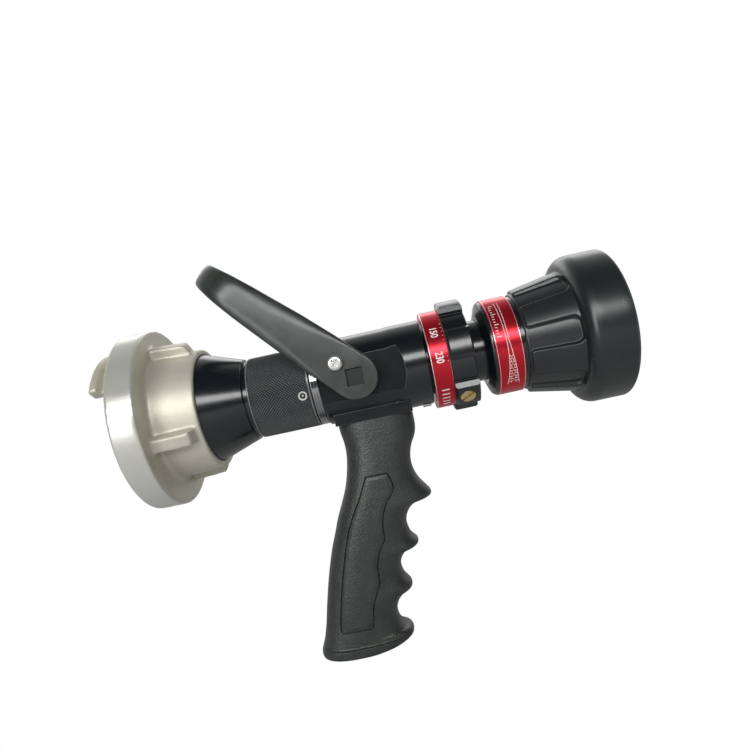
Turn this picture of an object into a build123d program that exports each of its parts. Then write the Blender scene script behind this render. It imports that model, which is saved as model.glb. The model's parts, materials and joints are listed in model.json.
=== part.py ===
"""Hand-held fire hose nozzle: swivelling lug coupling, ball valve with a bail handle, pistol grip,
flow selector and a twist pattern sleeve. Millimetres. X runs along the nozzle axis from the inlet
sealing face (x = 0) to the outlet, +Z is up and the pistol grip hangs along -Z."""

import os
from math import atan2, cos, degrees, radians, sin

from build123d import *

# ---- fits ----
running = 0.05          # radial clearance of a turning or sliding fit
loose = 0.3             # gap between faces that only pass each other

# ---- lug coupling, size C-52 ----
ring_radius = 49.0      # outside of the lug ring
ring_depth = 14.5
hub_radius = 34.8       # hub behind the ring
hub_end = 38.5
tail_radius = 30.0      # sleeve of the tailpiece that the lug ring turns on
lug_inner = 33.0        # half of the 66 mm lug spacing
lug_stem = 37.2
lug_head = 40.8
lug_reach = 12.8        # how far the lugs stand in front of the ring
lug_sweep = 46.0
lug_angle = 53.0
slot_outer = 42.5
slot_sweep = 126.0
rib_angle = 70.0
rib_width = 7.4
rib_count = 4
wire_x = 33.0           # retaining wire between ring and tailpiece
wire_radius = 1.0

# ---- swivel ----
collar_start = 62.5
collar_end = 95.9
collar_radius = 22.4
spigot_radius = 19.4
swivel_radius = 18.6    # stub of the inlet adapter inside the collar
spigot_end = 72.0
race_x = 91.2
race_centre = 18.8
swivel_ball_radius = 2.0
swivel_ball_count = 24
plug_angle = -10.7
waterway = 12.5

# ---- valve ----
body_start = 100.3
body_end = 158.5
body_radius = 23.2
barrel_radius = 23.5
pivot_x = 120.3         # axis of the ball, the stems and the bail
ball_radius = 17.5
ball_bore = 12.0
cavity_radius = 17.9
seat_length = 5.5
flat_offset = 20.4      # side flats where the bail turns
flat_radius = 26.5
stem_radius = 5.5
square_side = 8.8
plate_start = 20.8      # inner face of the drive plates
pad_z = -24.0           # face that the pistol grip is bolted to
pad_start = 104.0
pad_end = 146.0

# ---- bail handle ----
arm_inner = 22.4        # half of the distance between the arms
arm_thickness = 5.9
arm_reach = 104.0       # from the pivot to the outside of the crossbar
arm_root = 12.0         # half width at the pivot
arm_tip = 7.8           # half width at the crossbar
arm_angle = 46.0        # above the rear half of the axis when the valve is open
bend_radius = 24.0
screw_reach = 12.0      # from the pivot to the arm's fixing screw
plate_thickness = 1.4

# ---- pistol grip ----
grip_half_width = 16.0
grip_lean = 12.3
grip_floor = 46.0       # depth of the solid top, along the leaning bolt
grip_length = 128.0

# ---- flow selector ----
scale_start = 159.7
selector_start = 169.7
selector_end = 182.5
scale_radius = 26.7
selector_bearing = 18.5
valley_radius = 26.4
lobe_radius = 30.3
lobe_sweep = 34.0
lobe_count = 6
lobe_angle = 12.0
drive_x = 175.5         # brass screw that also drives the metering sleeve
drive_angle = -48.0
drive_radius = 2.1
drum_radius = 13.2      # bore that the metering sleeve slides in
flow_turn = 160.0
flow_travel = 4.0
detent_x = 179.6
detent_radius = 1.5

# ---- pattern sleeve ----
neck_radius = 16.9
barrel_end = 228.0
sleeve_start = 189.6
band_start = 193.4      # red pattern band
band_end = 207.5
band_radius = 26.5
band_seat = 23.5
bumper_start = 209.7
bumper_end = 260.7
rim_start = 236.8
rim_radius = 40.65
pad_count = 7           # raised pads, with as many flutes between them
pad_sweep = 25.0
flute_angle = -0.6
guide_x = 200.0
guide_radius = 2.0
pattern_turn = 120.0
pattern_travel = 6.0
wiper_x = 190.7
tooth_count = 30


def facing(angle):
    """Turns a feature built on top (+Z) to an angle above the horizontal on the -Y side."""
    return Rot(90 - angle, 0, 0)


def section(*corners):
    """A face in the XZ plane through (x, radius) or (x, radius, rounding) corners."""
    points = [corner[:2] for corner in corners]
    rounding = [corner[2] if len(corner) == 3 else 0 for corner in corners]
    if any(rounding):
        edge = FilletPolyline(*points, radius=rounding, close=True)
    else:
        edge = Polyline(*points, close=True)
    return Plane.XZ * make_face(edge)


def turned(*corners):
    return revolve(section(*corners), Axis.X)


def swept(corners, sweep, angle):
    """Part of a turned shape, centred on an angle."""
    return facing(angle + sweep / 2) * revolve(section(*corners), Axis.X, sweep)


def tube(start, end, inner, outer):
    return turned((start, inner), (start, outer), (end, outer), (end, inner))


def rod(start, end, radius):
    return tube(start, end, 0, radius)


def ring_sector(start, end, inner, outer, sweep, angle):
    return swept([(start, inner), (start, outer), (end, outer), (end, inner)], sweep, angle)


def torus(x, centre, radius):
    return revolve(Plane.XZ * Pos(x, centre) * Circle(radius), Axis.X)


def radial(x, angle, radius, low, high):
    """A round bar standing radially on the axis from one distance to another."""
    bar = Cylinder(radius, high - low, align=(Align.CENTER, Align.CENTER, Align.MIN))
    return facing(angle) * Pos(x, 0, low) * bar


def across(x, z, radius, low, high):
    """A round bar along +Y from one distance to another."""
    bar = Cylinder(radius, high - low, align=(Align.CENTER, Align.CENTER, Align.MIN))
    return Pos(x, low, z) * Rot(-90, 0, 0) * bar


def both_sides(shape):
    return [shape, mirror(shape, Plane.XZ)]


def along_helix(tool, turn, travel, steps):
    """Copies of a cutter that turns about the axis while it moves along it."""
    return [Rot(turn * i / steps, 0, 0) * Pos(travel * i / steps, 0, 0) * tool for i in range(steps + 1)]


# ---- lug coupling ----

def make_lug_ring():
    bore = tail_radius + running
    ring = turned(
        (0, bore), (0, ring_radius, 1.0), (ring_depth, ring_radius, 0.8), (ring_depth, hub_radius, 2.0),
        (hub_end, hub_radius - 1.6, 0.8), (hub_end, bore),
    )
    rib_foot = hub_radius - 3
    rib = extrude(
        section(
            (ring_depth - 1, rib_foot), (ring_depth - 1, hub_radius + 5.6), (33.6, hub_radius + 4.4, 2.0),
            (36.2, hub_radius - 1.5), (36.2, rib_foot),
        ),
        rib_width / 2, both=True,
    )
    for i in range(rib_count):
        ring += facing(rib_angle - 360 / rib_count * i) * rib
    lug = [
        (1, lug_inner), (-lug_reach, lug_inner), (-lug_reach, lug_head - 1.2), (1.2 - lug_reach, lug_head),
        (4.4 - lug_reach, lug_head), (6.0 - lug_reach, lug_stem), (1, lug_stem),
    ]
    slot_inner = lug_inner - loose
    entry = lug_sweep + 6
    for turn in (0, 180):
        slot = lug_angle + 90 + turn
        entry_angle = slot + slot_sweep / 2 - entry / 2
        ring -= ring_sector(5, 12, slot_inner, slot_outer, slot_sweep, slot)
        ring -= ring_sector(-1, 6, slot_inner, lug_stem + 0.8, slot_sweep, slot)
        ring -= ring_sector(-1, 6, slot_inner, slot_outer, entry, entry_angle)
        ring += swept(lug, lug_sweep, lug_angle + turn)
    return ring - torus(wire_x, tail_radius, wire_radius + 0.1)


def make_inlet_tailpiece():
    tail = turned(
        (6, 21.0), (6, 28.2), (1, 28.2), (1, tail_radius), (hub_end, tail_radius), (60.3, 22.5, 0.5),
        (60.3, 21.0), (collar_start, 21.0), (collar_start, spigot_radius), (spigot_end, spigot_radius),
        (spigot_end, waterway + 1), (64, waterway + 1), (44, 18.5),
    )
    return tail - torus(wire_x, tail_radius, wire_radius + 0.1)


def make_face_seal():
    return turned(
        (0, 22.6), (0, 27.4), (0.8, 28.2), (6, 28.2), (6, 21.4), (3.6, 21.4), (3.0, 22.6), (1.4, 23.6),
    )


def make_snap_wire():
    wire = Plane.XZ * Pos(wire_x, tail_radius) * Circle(wire_radius)
    return revolve(wire, Axis.X, 345)


def make_swivel_collar():
    bore = swivel_radius + running
    collar = turned(
        (collar_start, spigot_radius), (collar_start, collar_radius, 0.7), (collar_end, collar_radius, 0.7),
        (collar_end, bore), (spigot_end, bore), (spigot_end, spigot_radius),
    )
    collar -= torus(race_x, race_centre, swivel_ball_radius + running)
    return collar - radial(race_x, plug_angle, 2.4, race_centre - 2, collar_radius + 1)


def make_race_plug():
    top = collar_radius - 0.25
    plug = radial(race_x, plug_angle, 2.4, race_centre + swivel_ball_radius + running, top)
    socket = extrude(RegularPolygon(1.1, 6), 0.9)
    return plug - facing(plug_angle) * Pos(race_x, 0, top - 0.8) * socket


def make_swivel_balls():
    ball = Pos(race_x, 0, race_centre) * Sphere(swivel_ball_radius)
    return [Rot(360 / swivel_ball_count * i, 0, 0) * ball for i in range(swivel_ball_count)]


def make_inlet_adapter():
    start = spigot_end + 1.9
    end = pivot_x - seat_length - 8.8
    adapter = turned(
        (start, waterway), (start, swivel_radius, 0.6), (collar_end + loose, swivel_radius),
        (collar_end + loose, 22.2, 0.4), (body_start, 22.2, 0.4), (body_start, 17.0), (end, 17.0),
        (end, waterway),
    )
    adapter -= torus(race_x, race_centre, swivel_ball_radius + running)
    adapter -= tube(77.7, 80.3, 16.1, 19)
    for x in (97.3, 98.8):
        adapter -= tube(x, x + 0.6, 21.6, 23)
    return adapter


def make_swivel_oring():
    return torus(79.0, 17.35, 1.2)


def make_tail_gasket():
    return tube(spigot_end, spigot_end + 1.8, waterway + 1.1, swivel_radius - 0.1)


# ---- ball valve ----

adapter_end = pivot_x - seat_length - 8.8
seat_front = 2 * pivot_x - adapter_end
thread_start = 141.0
thread_radius = 19.5


def grip_frame():
    """Where the leaning grip bolt meets the pad: +Z points up the bolt."""
    return Pos((pad_start + pad_end) / 2 - 2, 0, pad_z) * Rot(0, grip_lean, 0)


def make_valve_body():
    body = turned(
        (body_start, 17.0), (body_start, body_radius, 1.5), (138, body_radius), (142, barrel_radius),
        (body_end, barrel_radius, 0.5), (body_end, thread_radius), (thread_start, thread_radius),
        (thread_start, cavity_radius), (adapter_end, cavity_radius), (adapter_end, 17.0),
    )
    pad = Pos((pad_start + pad_end) / 2, 0, pad_z + 3) * Box(pad_end - pad_start, 30, 6)
    body += pad - rod(pad_start - 1, pad_end + 1, body_radius - 1)
    for flat in both_sides(across(pivot_x, 0, flat_radius, flat_offset, 40)):
        body -= flat
    body -= across(pivot_x, 0, stem_radius + running, -30, 30)
    body -= grip_frame() * Cylinder(4, 9, align=(Align.CENTER, Align.CENTER, Align.CENTER))
    return body - radial(154.6, -80, 1.6, barrel_radius - 2, barrel_radius + 2)


def make_index_pointer():
    pin = radial(154.6, -80, 1.6, barrel_radius - 2, barrel_radius)
    return pin + facing(-80) * Pos(154.6, 0, barrel_radius + 0.5) * Box(4.4, 3.2, 1.0)


def make_rear_seat():
    seat = tube(adapter_end, adapter_end + seat_length, ball_bore + 0.4, cavity_radius)
    return seat - Pos(pivot_x, 0, 0) * Sphere(ball_radius + running)


def make_front_seat():
    return mirror(make_rear_seat(), Plane.YZ.offset(pivot_x))


def make_seat_gasket():
    return tube(seat_front, seat_front + 1.4, waterway + 0.8, cavity_radius)


def make_valve_ball():
    ball = Pos(pivot_x, 0, 0) * Sphere(ball_radius)
    ball -= rod(pivot_x - 30, pivot_x + 30, ball_bore)
    for slot in both_sides(Pos(pivot_x, 16.5, 0) * Box(10, 6, 6)):
        ball -= slot
    return ball


def make_stem(side):
    tang = Pos(0, 15.6, 0) * Box(9.8, 3.9, 5.8)
    tang &= Rot(-90, 0, 0) * Cylinder(stem_radius, 60)
    shaft = across(0, 0, stem_radius, ball_radius + running, plate_start)
    shaft -= Pos(0, 19.0, 0) * Rot(-90, 0, 0) * (Cylinder(stem_radius + 1, 1.8) - Cylinder(4.2, 1.8))
    square = Pos(0, plate_start + 3, 0) * Box(square_side, 6, square_side)
    square &= Rot(-90, 0, 0) * Cylinder(5.9, 60)
    stem = Pos(pivot_x, 0, 0) * (tang + shaft + square)
    return stem if side > 0 else mirror(stem, Plane.XZ)


def make_stem_seals():
    seal = Pos(pivot_x, 19.0, 0) * Rot(-90, 0, 0) * Torus(4.85, 0.64)
    return both_sides(seal)


# ---- bail handle ----

def bail_frame():
    """Local +X runs from the pivot along the open arm."""
    return Pos(pivot_x, 0, 0) * Rot(0, arm_angle - 180, 0)


def make_bail_handle():
    arm_outer = arm_inner + arm_thickness
    tip = arm_reach - 6.5
    loop = make_face(
        FilletPolyline(
            (-20, arm_outer), (arm_reach, arm_outer), (arm_reach, -arm_outer), (-20, -arm_outer),
            (-20, -arm_inner), (tip, -arm_inner), (tip, arm_inner), (-20, arm_inner),
            radius=[0, bend_radius, bend_radius, 0, 0, bend_radius - 6, bend_radius - 6, 0], close=True,
        )
    )
    lean = degrees(atan2(arm_root - arm_tip, arm_reach))
    touch = arm_root * cos(radians(lean)), arm_root * sin(radians(lean))
    outline = FilletPolyline(
        (touch[1], touch[0]), (arm_reach, arm_tip), (arm_reach, -arm_tip), (touch[1], -touch[0]),
        (-arm_root * 2, -touch[0]), (-arm_root * 2, touch[0]),
        radius=[0, 5, 5, 0, 0, 0], close=True,
    )
    side = make_face(outline) - Pos(-arm_root, 0) * Rectangle(2 * arm_root + 2 * touch[1], 4 * arm_root)
    side += Circle(arm_root)
    handle = extrude(loop, 20, both=True) & extrude(Plane.XZ * side, 60, both=True)
    handle = bail_frame() * handle
    handle -= Pos(pivot_x, 0, 0) * Box(square_side + 0.1, 80, square_side + 0.1)
    return handle - bail_frame() * across(screw_reach, 0, 2.05, -40, 40)


def make_drive_plates():
    outline = Pos(screw_reach / 2, 0) * SlotCenterToCenter(screw_reach, 14)
    plate = extrude(Plane.XZ * outline, -plate_thickness)
    plate = bail_frame() * Pos(0, plate_start, 0) * plate
    plate -= Pos(pivot_x, 0, 0) * Box(square_side + 0.1, 80, square_side + 0.1)
    plate -= bail_frame() * across(screw_reach, 0, 2.05, -40, 40)
    return both_sides(plate)


def make_bail_screws():
    face = arm_inner + arm_thickness
    head = across(0, 0, 4, face, face + 2.6)
    head = fillet(head.edges().sort_by(Axis.Y)[-1], 1.5)
    for turn in (0, 90):
        head -= Pos(0, face + 2.2, 0) * Rot(0, turn, 0) * Box(4.4, 1.8, 0.9)
    shank = across(0, 0, 2.0, plate_start, face)
    screw = bail_frame() * Pos(screw_reach, 0, 0) * (head + shank)
    return both_sides(screw)


# ---- pistol grip ----

def make_pistol_grip():
    rear = Spline(
        (pad_start, pad_z), (105.2, -36), (102.6, -53), (94, -72), (84.5, -95), (77, -120), (69.3, -147.5),
    )
    base = FilletPolyline(
        (69.3, -147.5), (72.5, -152.2), (110, -152.2), (121.4, -145), (121.4, -142.6), radius=2,
    )
    front = Spline(
        (121.4, -142.6), (116.2, -137.8), (114.7, -131.5), (119, -122), (126, -117.2), (122, -108.5),
        (126, -99), (134, -95), (129.9, -86), (134.2, -75.4), (146.4, -69.8), (140.6, -58.5), (140.6, -45),
        (145.4, -34), (pad_end, pad_z),
    )
    outline = make_face([rear, base, front, Line((pad_end, pad_z), (pad_start, pad_z))])
    grip = extrude(Plane.XZ * outline, grip_half_width, both=True)
    cavity = Pos(0, 0, -grip_floor - grip_length / 2) * Box(17, 17, grip_length)
    grip -= grip_frame() * cavity
    return grip - grip_frame() * Cylinder(4, 3 * grip_floor)


def make_grip_bolt():
    bolt = Cylinder(3.95, grip_floor + 5.6, align=(Align.CENTER, Align.CENTER, Align.MAX))
    head = Cylinder(6.5, 6, align=(Align.CENTER, Align.CENTER, Align.MAX))
    socket = extrude(RegularPolygon(3.4, 6), 3.6)
    head = Pos(0, 0, -grip_floor - 1.6) * head
    return grip_frame() * (Pos(0, 0, 4) * bolt + head - Pos(0, 0, -grip_floor - 7.7) * socket)


def make_grip_washer():
    ring = Cylinder(7.8, 1.6, align=(Align.CENTER, Align.CENTER, Align.MAX))
    ring -= Cylinder(4.0, 10)
    return grip_frame() * Pos(0, 0, -grip_floor) * ring


# ---- flow selector ----

def make_front_barrel():
    start = seat_front + 1.4
    barrel = turned(
        (start, waterway), (start, cavity_radius - 0.1), (thread_start, cavity_radius - 0.1),
        (thread_start, thread_radius), (body_end, thread_radius), (body_end, selector_bearing),
        (selector_end - 0.5, selector_bearing, 0.4), (selector_end - 0.5, neck_radius),
        (barrel_end, neck_radius, 0.6), (barrel_end, 15.2), (barrel_end - 8, drum_radius),
        (162, drum_radius), (162, waterway),
    )
    slot_end = degrees(2 * (drive_radius + 0.4) / drum_radius)
    slot_angle = drive_angle - flow_turn / 2
    half = drive_radius + 0.2
    barrel -= ring_sector(drive_x - half, drive_x + half, 10, 20, flow_turn + slot_end, slot_angle)
    barrel -= torus(detent_x, selector_bearing + 1.1, detent_radius + 0.1)
    barrel -= tube(214.6, 217.4, 14.9, 18)
    track = radial(guide_x, 90, guide_radius + 0.25, 15.2, 18)
    for cut in along_helix(track, pattern_turn, -pattern_travel, 16):
        barrel -= cut
    return barrel


def make_barrel_oring():
    return torus(216.0, 15.9, 0.98)


def make_scale_ring():
    return turned(
        (scale_start, 22.0), (scale_start, scale_radius, 0.5), (selector_start, scale_radius, 0.4),
        (selector_start, 22.0),
    )


def make_selector_ring():
    bore = selector_bearing + running
    ring = tube(scale_start + 0.3, selector_start, bore, 22.0)
    ring += turned(
        (selector_start, bore), (selector_start, valley_radius, 0.8), (selector_end, valley_radius, 0.8),
        (selector_end, bore),
    )
    lobe = ring_sector(selector_start, selector_end, 22, lobe_radius, lobe_sweep, 90)
    lobe = chamfer(lobe.edges().filter_by(Axis.X).group_by(SortBy.DISTANCE)[-1], 2.2)
    rims = lobe.edges().filter_by(GeomType.CIRCLE).group_by(SortBy.RADIUS)[-1]
    lobe = chamfer(rims, 0.9)
    for i in range(lobe_count):
        ring += facing(lobe_angle - 360 / lobe_count * i) * lobe
    ring -= radial(drive_x, drive_angle, drive_radius, 17, 28.7)
    ring -= radial(drive_x, drive_angle, 4.1, 27.6, 32)
    return ring - radial(detent_x, drive_angle + 180, detent_radius + 0.1, 17, 25)


def make_selector_screw():
    head = radial(drive_x, drive_angle, 4.0, 27.6, 30.3)
    head -= facing(drive_angle) * Pos(drive_x, 0, 30.3) * Rot(0, 0, 38) * Box(10, 1.1, 2.2)
    return head + radial(drive_x, drive_angle, drive_radius - 0.05, 12.0, 27.6)


def make_detent_ball():
    centre = selector_bearing + 1.1
    return facing(drive_angle + 180) * Pos(detent_x, 0, centre) * Sphere(detent_radius)


def make_detent_spring():
    low = selector_bearing + 1.1 + detent_radius + 0.3
    coil = Helix(pitch=0.9, height=2.7, radius=1.1)
    wire = sweep(Plane(origin=coil @ 0, z_dir=coil % 0) * Circle(0.22), path=coil)
    return facing(drive_angle + 180) * Pos(detent_x, 0, low) * wire


# ---- metering baffle ----

def make_metering_sleeve():
    start, end = 167.0, 186.0
    sleeve = tube(start, end, 10.6, drum_radius - running)
    sleeve += tube(start + 3, end - 3, 3.0, 5.5)
    for turn in (30, 150, 270):
        sleeve += facing(turn) * Pos((start + end) / 2, 0, 8) * Box(end - start - 6, 1.8, 6)
    tool = radial(drive_x, drive_angle, drive_radius + 0.25, 11.6, 15)
    for cut in along_helix(tool, flow_turn, flow_travel, 24):
        sleeve -= cut
    return sleeve


def make_baffle_stem():
    stem = rod(165.0, 246.0, 3.0)
    return stem + rod(186.0, 232.0, 3.6)


def make_baffle_nut():
    nut = extrude(RegularPolygon(5.4, 6), 4) - Cylinder(3.0, 20)
    return Pos(166.0, 0, 0) * Rot(0, 90, 0) * nut


def make_baffle_head():
    return turned(
        (232, 3.0), (232, 5.0, 0.5), (240, 17.0, 3), (244, 19.5, 0.8), (247.5, 19.5, 1.2), (247.5, 12, 1),
        (246, 9, 1), (246, 3.0),
    )


# ---- pattern sleeve ----

def make_pattern_sleeve():
    bore = neck_radius + running
    sleeve = turned(
        (sleeve_start, bore), (sleeve_start, 19.4, 1.0), (192.0, 26.0, 1.6), (band_start, 26.0),
        (band_start, band_seat), (band_end, band_seat), (band_end, 25.6), (bumper_start, 25.6),
        (bumper_start, 24.0), (236, 27.8), (244, 34.0), (256, 34.0), (256, 31.0), (250, 31.0), (250, 28.6),
        (240, 25.6), (227, bore),
    )
    sleeve -= tube(wiper_x - 0.1, wiper_x + 2.0, 16, 19.05)
    return sleeve - radial(guide_x, 90, guide_radius, 16, band_seat + 1)


def make_wiper_seal():
    return tube(wiper_x, wiper_x + 1.9, neck_radius + running, 19.0)


def make_guide_pin():
    return radial(guide_x, 90, guide_radius, 15.4, band_seat - 0.1)


def make_pattern_band():
    return turned(
        (band_start, band_seat), (band_start, band_radius, 0.4), (band_end, band_radius, 0.4),
        (band_end, band_seat),
    )


def make_rubber_bumper():
    bumper = turned(
        (bumper_start, 24.0), (bumper_start, 26.6, 0.6), (rim_start, 30.8, 1.2),
        (rim_start, rim_radius, 7.2), (bumper_end, rim_radius, 1.6), (bumper_end, 35.5, 1.2),
        (256, 31.0), (256, 34.0), (244, 34.0), (236, 27.8),
    )
    pad = swept([(210.6, 25.5), (210.6, 28.3), (238, 33.2), (238, 30.0)], pad_sweep, 90)
    for i in range(pad_count):
        bumper += facing(flute_angle + 360 / pad_count * (i + 0.5)) * pad
    return bumper


def make_spray_teeth():
    ring = tube(250.0, 254.0, 28.2, 31.0)
    tooth = Pos(253.6, 0, 28.6) * Box(4.4, 2.6, 3.4)
    for i in range(tooth_count):
        ring += Rot(360 / tooth_count * i, 0, 0) * tooth
    return ring & rod(240, 270, 31.0)


PIECES = {
    "lug_ring": make_lug_ring,
    "inlet_tailpiece": make_inlet_tailpiece,
    "face_seal": make_face_seal,
    "snap_wire": make_snap_wire,
    "swivel_collar": make_swivel_collar,
    "race_plug": make_race_plug,
    "swivel_balls": make_swivel_balls,
    "tail_gasket": make_tail_gasket,
    "inlet_adapter": make_inlet_adapter,
    "swivel_oring": make_swivel_oring,
    "valve_body": make_valve_body,
    "index_pointer": make_index_pointer,
    "rear_seat": make_rear_seat,
    "front_seat": make_front_seat,
    "seat_gasket": make_seat_gasket,
    "valve_ball": make_valve_ball,
    "near_stem": lambda: make_stem(-1),
    "far_stem": lambda: make_stem(1),
    "stem_seals": make_stem_seals,
    "bail_handle": make_bail_handle,
    "drive_plates": make_drive_plates,
    "bail_screws": make_bail_screws,
    "pistol_grip": make_pistol_grip,
    "grip_bolt": make_grip_bolt,
    "grip_washer": make_grip_washer,
    "front_barrel": make_front_barrel,
    "barrel_oring": make_barrel_oring,
    "flow_scale_ring": make_scale_ring,
    "flow_selector_ring": make_selector_ring,
    "selector_screw": make_selector_screw,
    "detent_ball": make_detent_ball,
    "detent_spring": make_detent_spring,
    "metering_sleeve": make_metering_sleeve,
    "baffle_stem": make_baffle_stem,
    "baffle_nut": make_baffle_nut,
    "baffle_head": make_baffle_head,
    "wiper_seal": make_wiper_seal,
    "pattern_sleeve": make_pattern_sleeve,
    "guide_pin": make_guide_pin,
    "pattern_band": make_pattern_band,
    "rubber_bumper": make_rubber_bumper,
    "spray_teeth": make_spray_teeth,
}

os.makedirs("parts", exist_ok=True)
for name, make in PIECES.items():
    shape = make()
    copies = shape if isinstance(shape, list) else [shape]
    solids = [solid for copy in copies for solid in copy.solids()]
    export_step(Compound(children=solids) if len(solids) > 1 else solids[0], f"parts/{name}.step")
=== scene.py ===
"""Looks of a hand-held fire hose nozzle: materials, moulded and knurled surfaces, dial marks, studio.

Metres in the CAD frame: X runs along the nozzle axis from the inlet face to the outlet, +Z is up.
Angles are degrees above the horizontal on the -Y side, seen along the axis."""

import json
from math import acos, atan2, cos, degrees, hypot, pi, radians, sin, sqrt

import bmesh
import bpy
import numpy as np
from mathutils import Matrix, Vector


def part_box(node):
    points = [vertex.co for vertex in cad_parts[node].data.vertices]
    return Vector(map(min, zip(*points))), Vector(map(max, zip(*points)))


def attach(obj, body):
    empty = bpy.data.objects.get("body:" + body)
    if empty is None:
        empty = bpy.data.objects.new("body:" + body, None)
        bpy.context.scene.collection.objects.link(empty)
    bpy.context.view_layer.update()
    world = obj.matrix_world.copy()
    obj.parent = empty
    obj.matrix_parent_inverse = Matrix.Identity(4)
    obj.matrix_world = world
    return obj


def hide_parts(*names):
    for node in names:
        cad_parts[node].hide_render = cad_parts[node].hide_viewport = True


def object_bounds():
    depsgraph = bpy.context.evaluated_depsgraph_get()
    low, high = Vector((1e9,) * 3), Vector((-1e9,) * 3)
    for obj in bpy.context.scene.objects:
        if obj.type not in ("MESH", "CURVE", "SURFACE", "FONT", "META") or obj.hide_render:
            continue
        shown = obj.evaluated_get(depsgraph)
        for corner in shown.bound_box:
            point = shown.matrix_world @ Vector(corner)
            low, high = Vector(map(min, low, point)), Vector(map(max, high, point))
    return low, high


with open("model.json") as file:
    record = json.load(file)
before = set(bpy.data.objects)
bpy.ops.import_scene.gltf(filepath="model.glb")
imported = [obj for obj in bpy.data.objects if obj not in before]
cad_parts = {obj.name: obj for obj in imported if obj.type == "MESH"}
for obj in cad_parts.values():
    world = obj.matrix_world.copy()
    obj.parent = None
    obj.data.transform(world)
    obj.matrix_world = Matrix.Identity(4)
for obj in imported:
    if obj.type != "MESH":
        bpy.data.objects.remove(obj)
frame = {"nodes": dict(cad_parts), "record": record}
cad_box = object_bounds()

MM = 0.001
nodes = frame["nodes"]
PIVOT_X = 120.3        # the bail's axis, in mm
ARM_ANGLE = 46.0       # degrees that the shut bail rises above the barrel


# ---------------------------------------------------------------- materials

class Shader:
    """A node tree with a Principled shader and short ways to add to it."""

    def __init__(self, name):
        self.material = bpy.data.materials.new(name)
        self.material.use_nodes = True
        self.tree = self.material.node_tree
        self.surface = self.tree.nodes["Principled BSDF"]
        self.place = self.add("ShaderNodeTexCoord").outputs["Object"]

    def add(self, kind, inputs=(), **settings):
        node = self.tree.nodes.new(kind)
        for key, value in settings.items():
            setattr(node, key, value)
        for key, value in dict(inputs).items():
            if isinstance(value, bpy.types.NodeSocket):
                self.tree.links.new(value, node.inputs[key])
            else:
                node.inputs[key].default_value = value
        return node

    def stretched(self, scale):
        return self.add("ShaderNodeMapping", {"Vector": self.place, "Scale": scale}).outputs["Vector"]

    def noise(self, scale, detail=3.0, vector=None):
        inputs = {"Vector": vector or self.place, "Scale": scale, "Detail": detail}
        return self.add("ShaderNodeTexNoise", inputs).outputs["Fac"]

    def spread(self, value, low, high, start=0.3, end=0.7):
        inputs = {"Value": value, "From Min": start, "From Max": end, "To Min": low, "To Max": high}
        return self.add("ShaderNodeMapRange", inputs).outputs["Result"]

    def maths(self, operation, *values):
        return self.add("ShaderNodeMath", dict(enumerate(values)), operation=operation).outputs["Value"]

    def vector(self, operation, *values):
        """The outputs of a vector operation."""
        return self.add("ShaderNodeVectorMath", dict(enumerate(values)), operation=operation).outputs

    def mix(self, share, a, b):
        node = self.add("ShaderNodeMix", data_type="RGBA")
        for socket, value in zip((node.inputs[0], node.inputs[6], node.inputs[7]), (share, a, b)):
            if isinstance(value, bpy.types.NodeSocket):
                self.tree.links.new(value, socket)
            else:
                socket.default_value = value
        return node.outputs[2]

    def edges(self, radius, samples=6):
        """Rounded normal, and a mask that is 1 on edges."""
        bevel = self.add("ShaderNodeBevel", {"Radius": radius}, samples=samples).outputs["Normal"]
        flat = self.add("ShaderNodeNewGeometry").outputs["Normal"]
        agree = self.vector("DOT_PRODUCT", bevel, flat)["Value"]
        return bevel, self.spread(agree, 1.0, 0.0, 0.80, 0.985)

    def bump(self, height, depth, normal=None):
        inputs = {"Height": height, "Distance": depth, "Strength": 1.0}
        if normal is not None:
            inputs["Normal"] = normal
        return self.add("ShaderNodeBump", inputs).outputs["Normal"]

    def coordinate(self, letter):
        return self.add("ShaderNodeSeparateXYZ", {0: self.place}).outputs[letter]

    def radius(self):
        """Distance from the nozzle axis."""
        flat = self.vector("MULTIPLY", self.place, (0.0, 1.0, 1.0))["Vector"]
        return self.vector("LENGTH", flat)["Value"]

    def into(self, **sockets):
        for key, value in sockets.items():
            name = key.replace("_", " ")
            if isinstance(value, bpy.types.NodeSocket):
                self.tree.links.new(value, self.surface.inputs[name])
            else:
                self.surface.inputs[name].default_value = value
        return self.material


def shade(colour, factor):
    return tuple(min(1.0, c * factor) for c in colour) + (1.0,)


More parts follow.
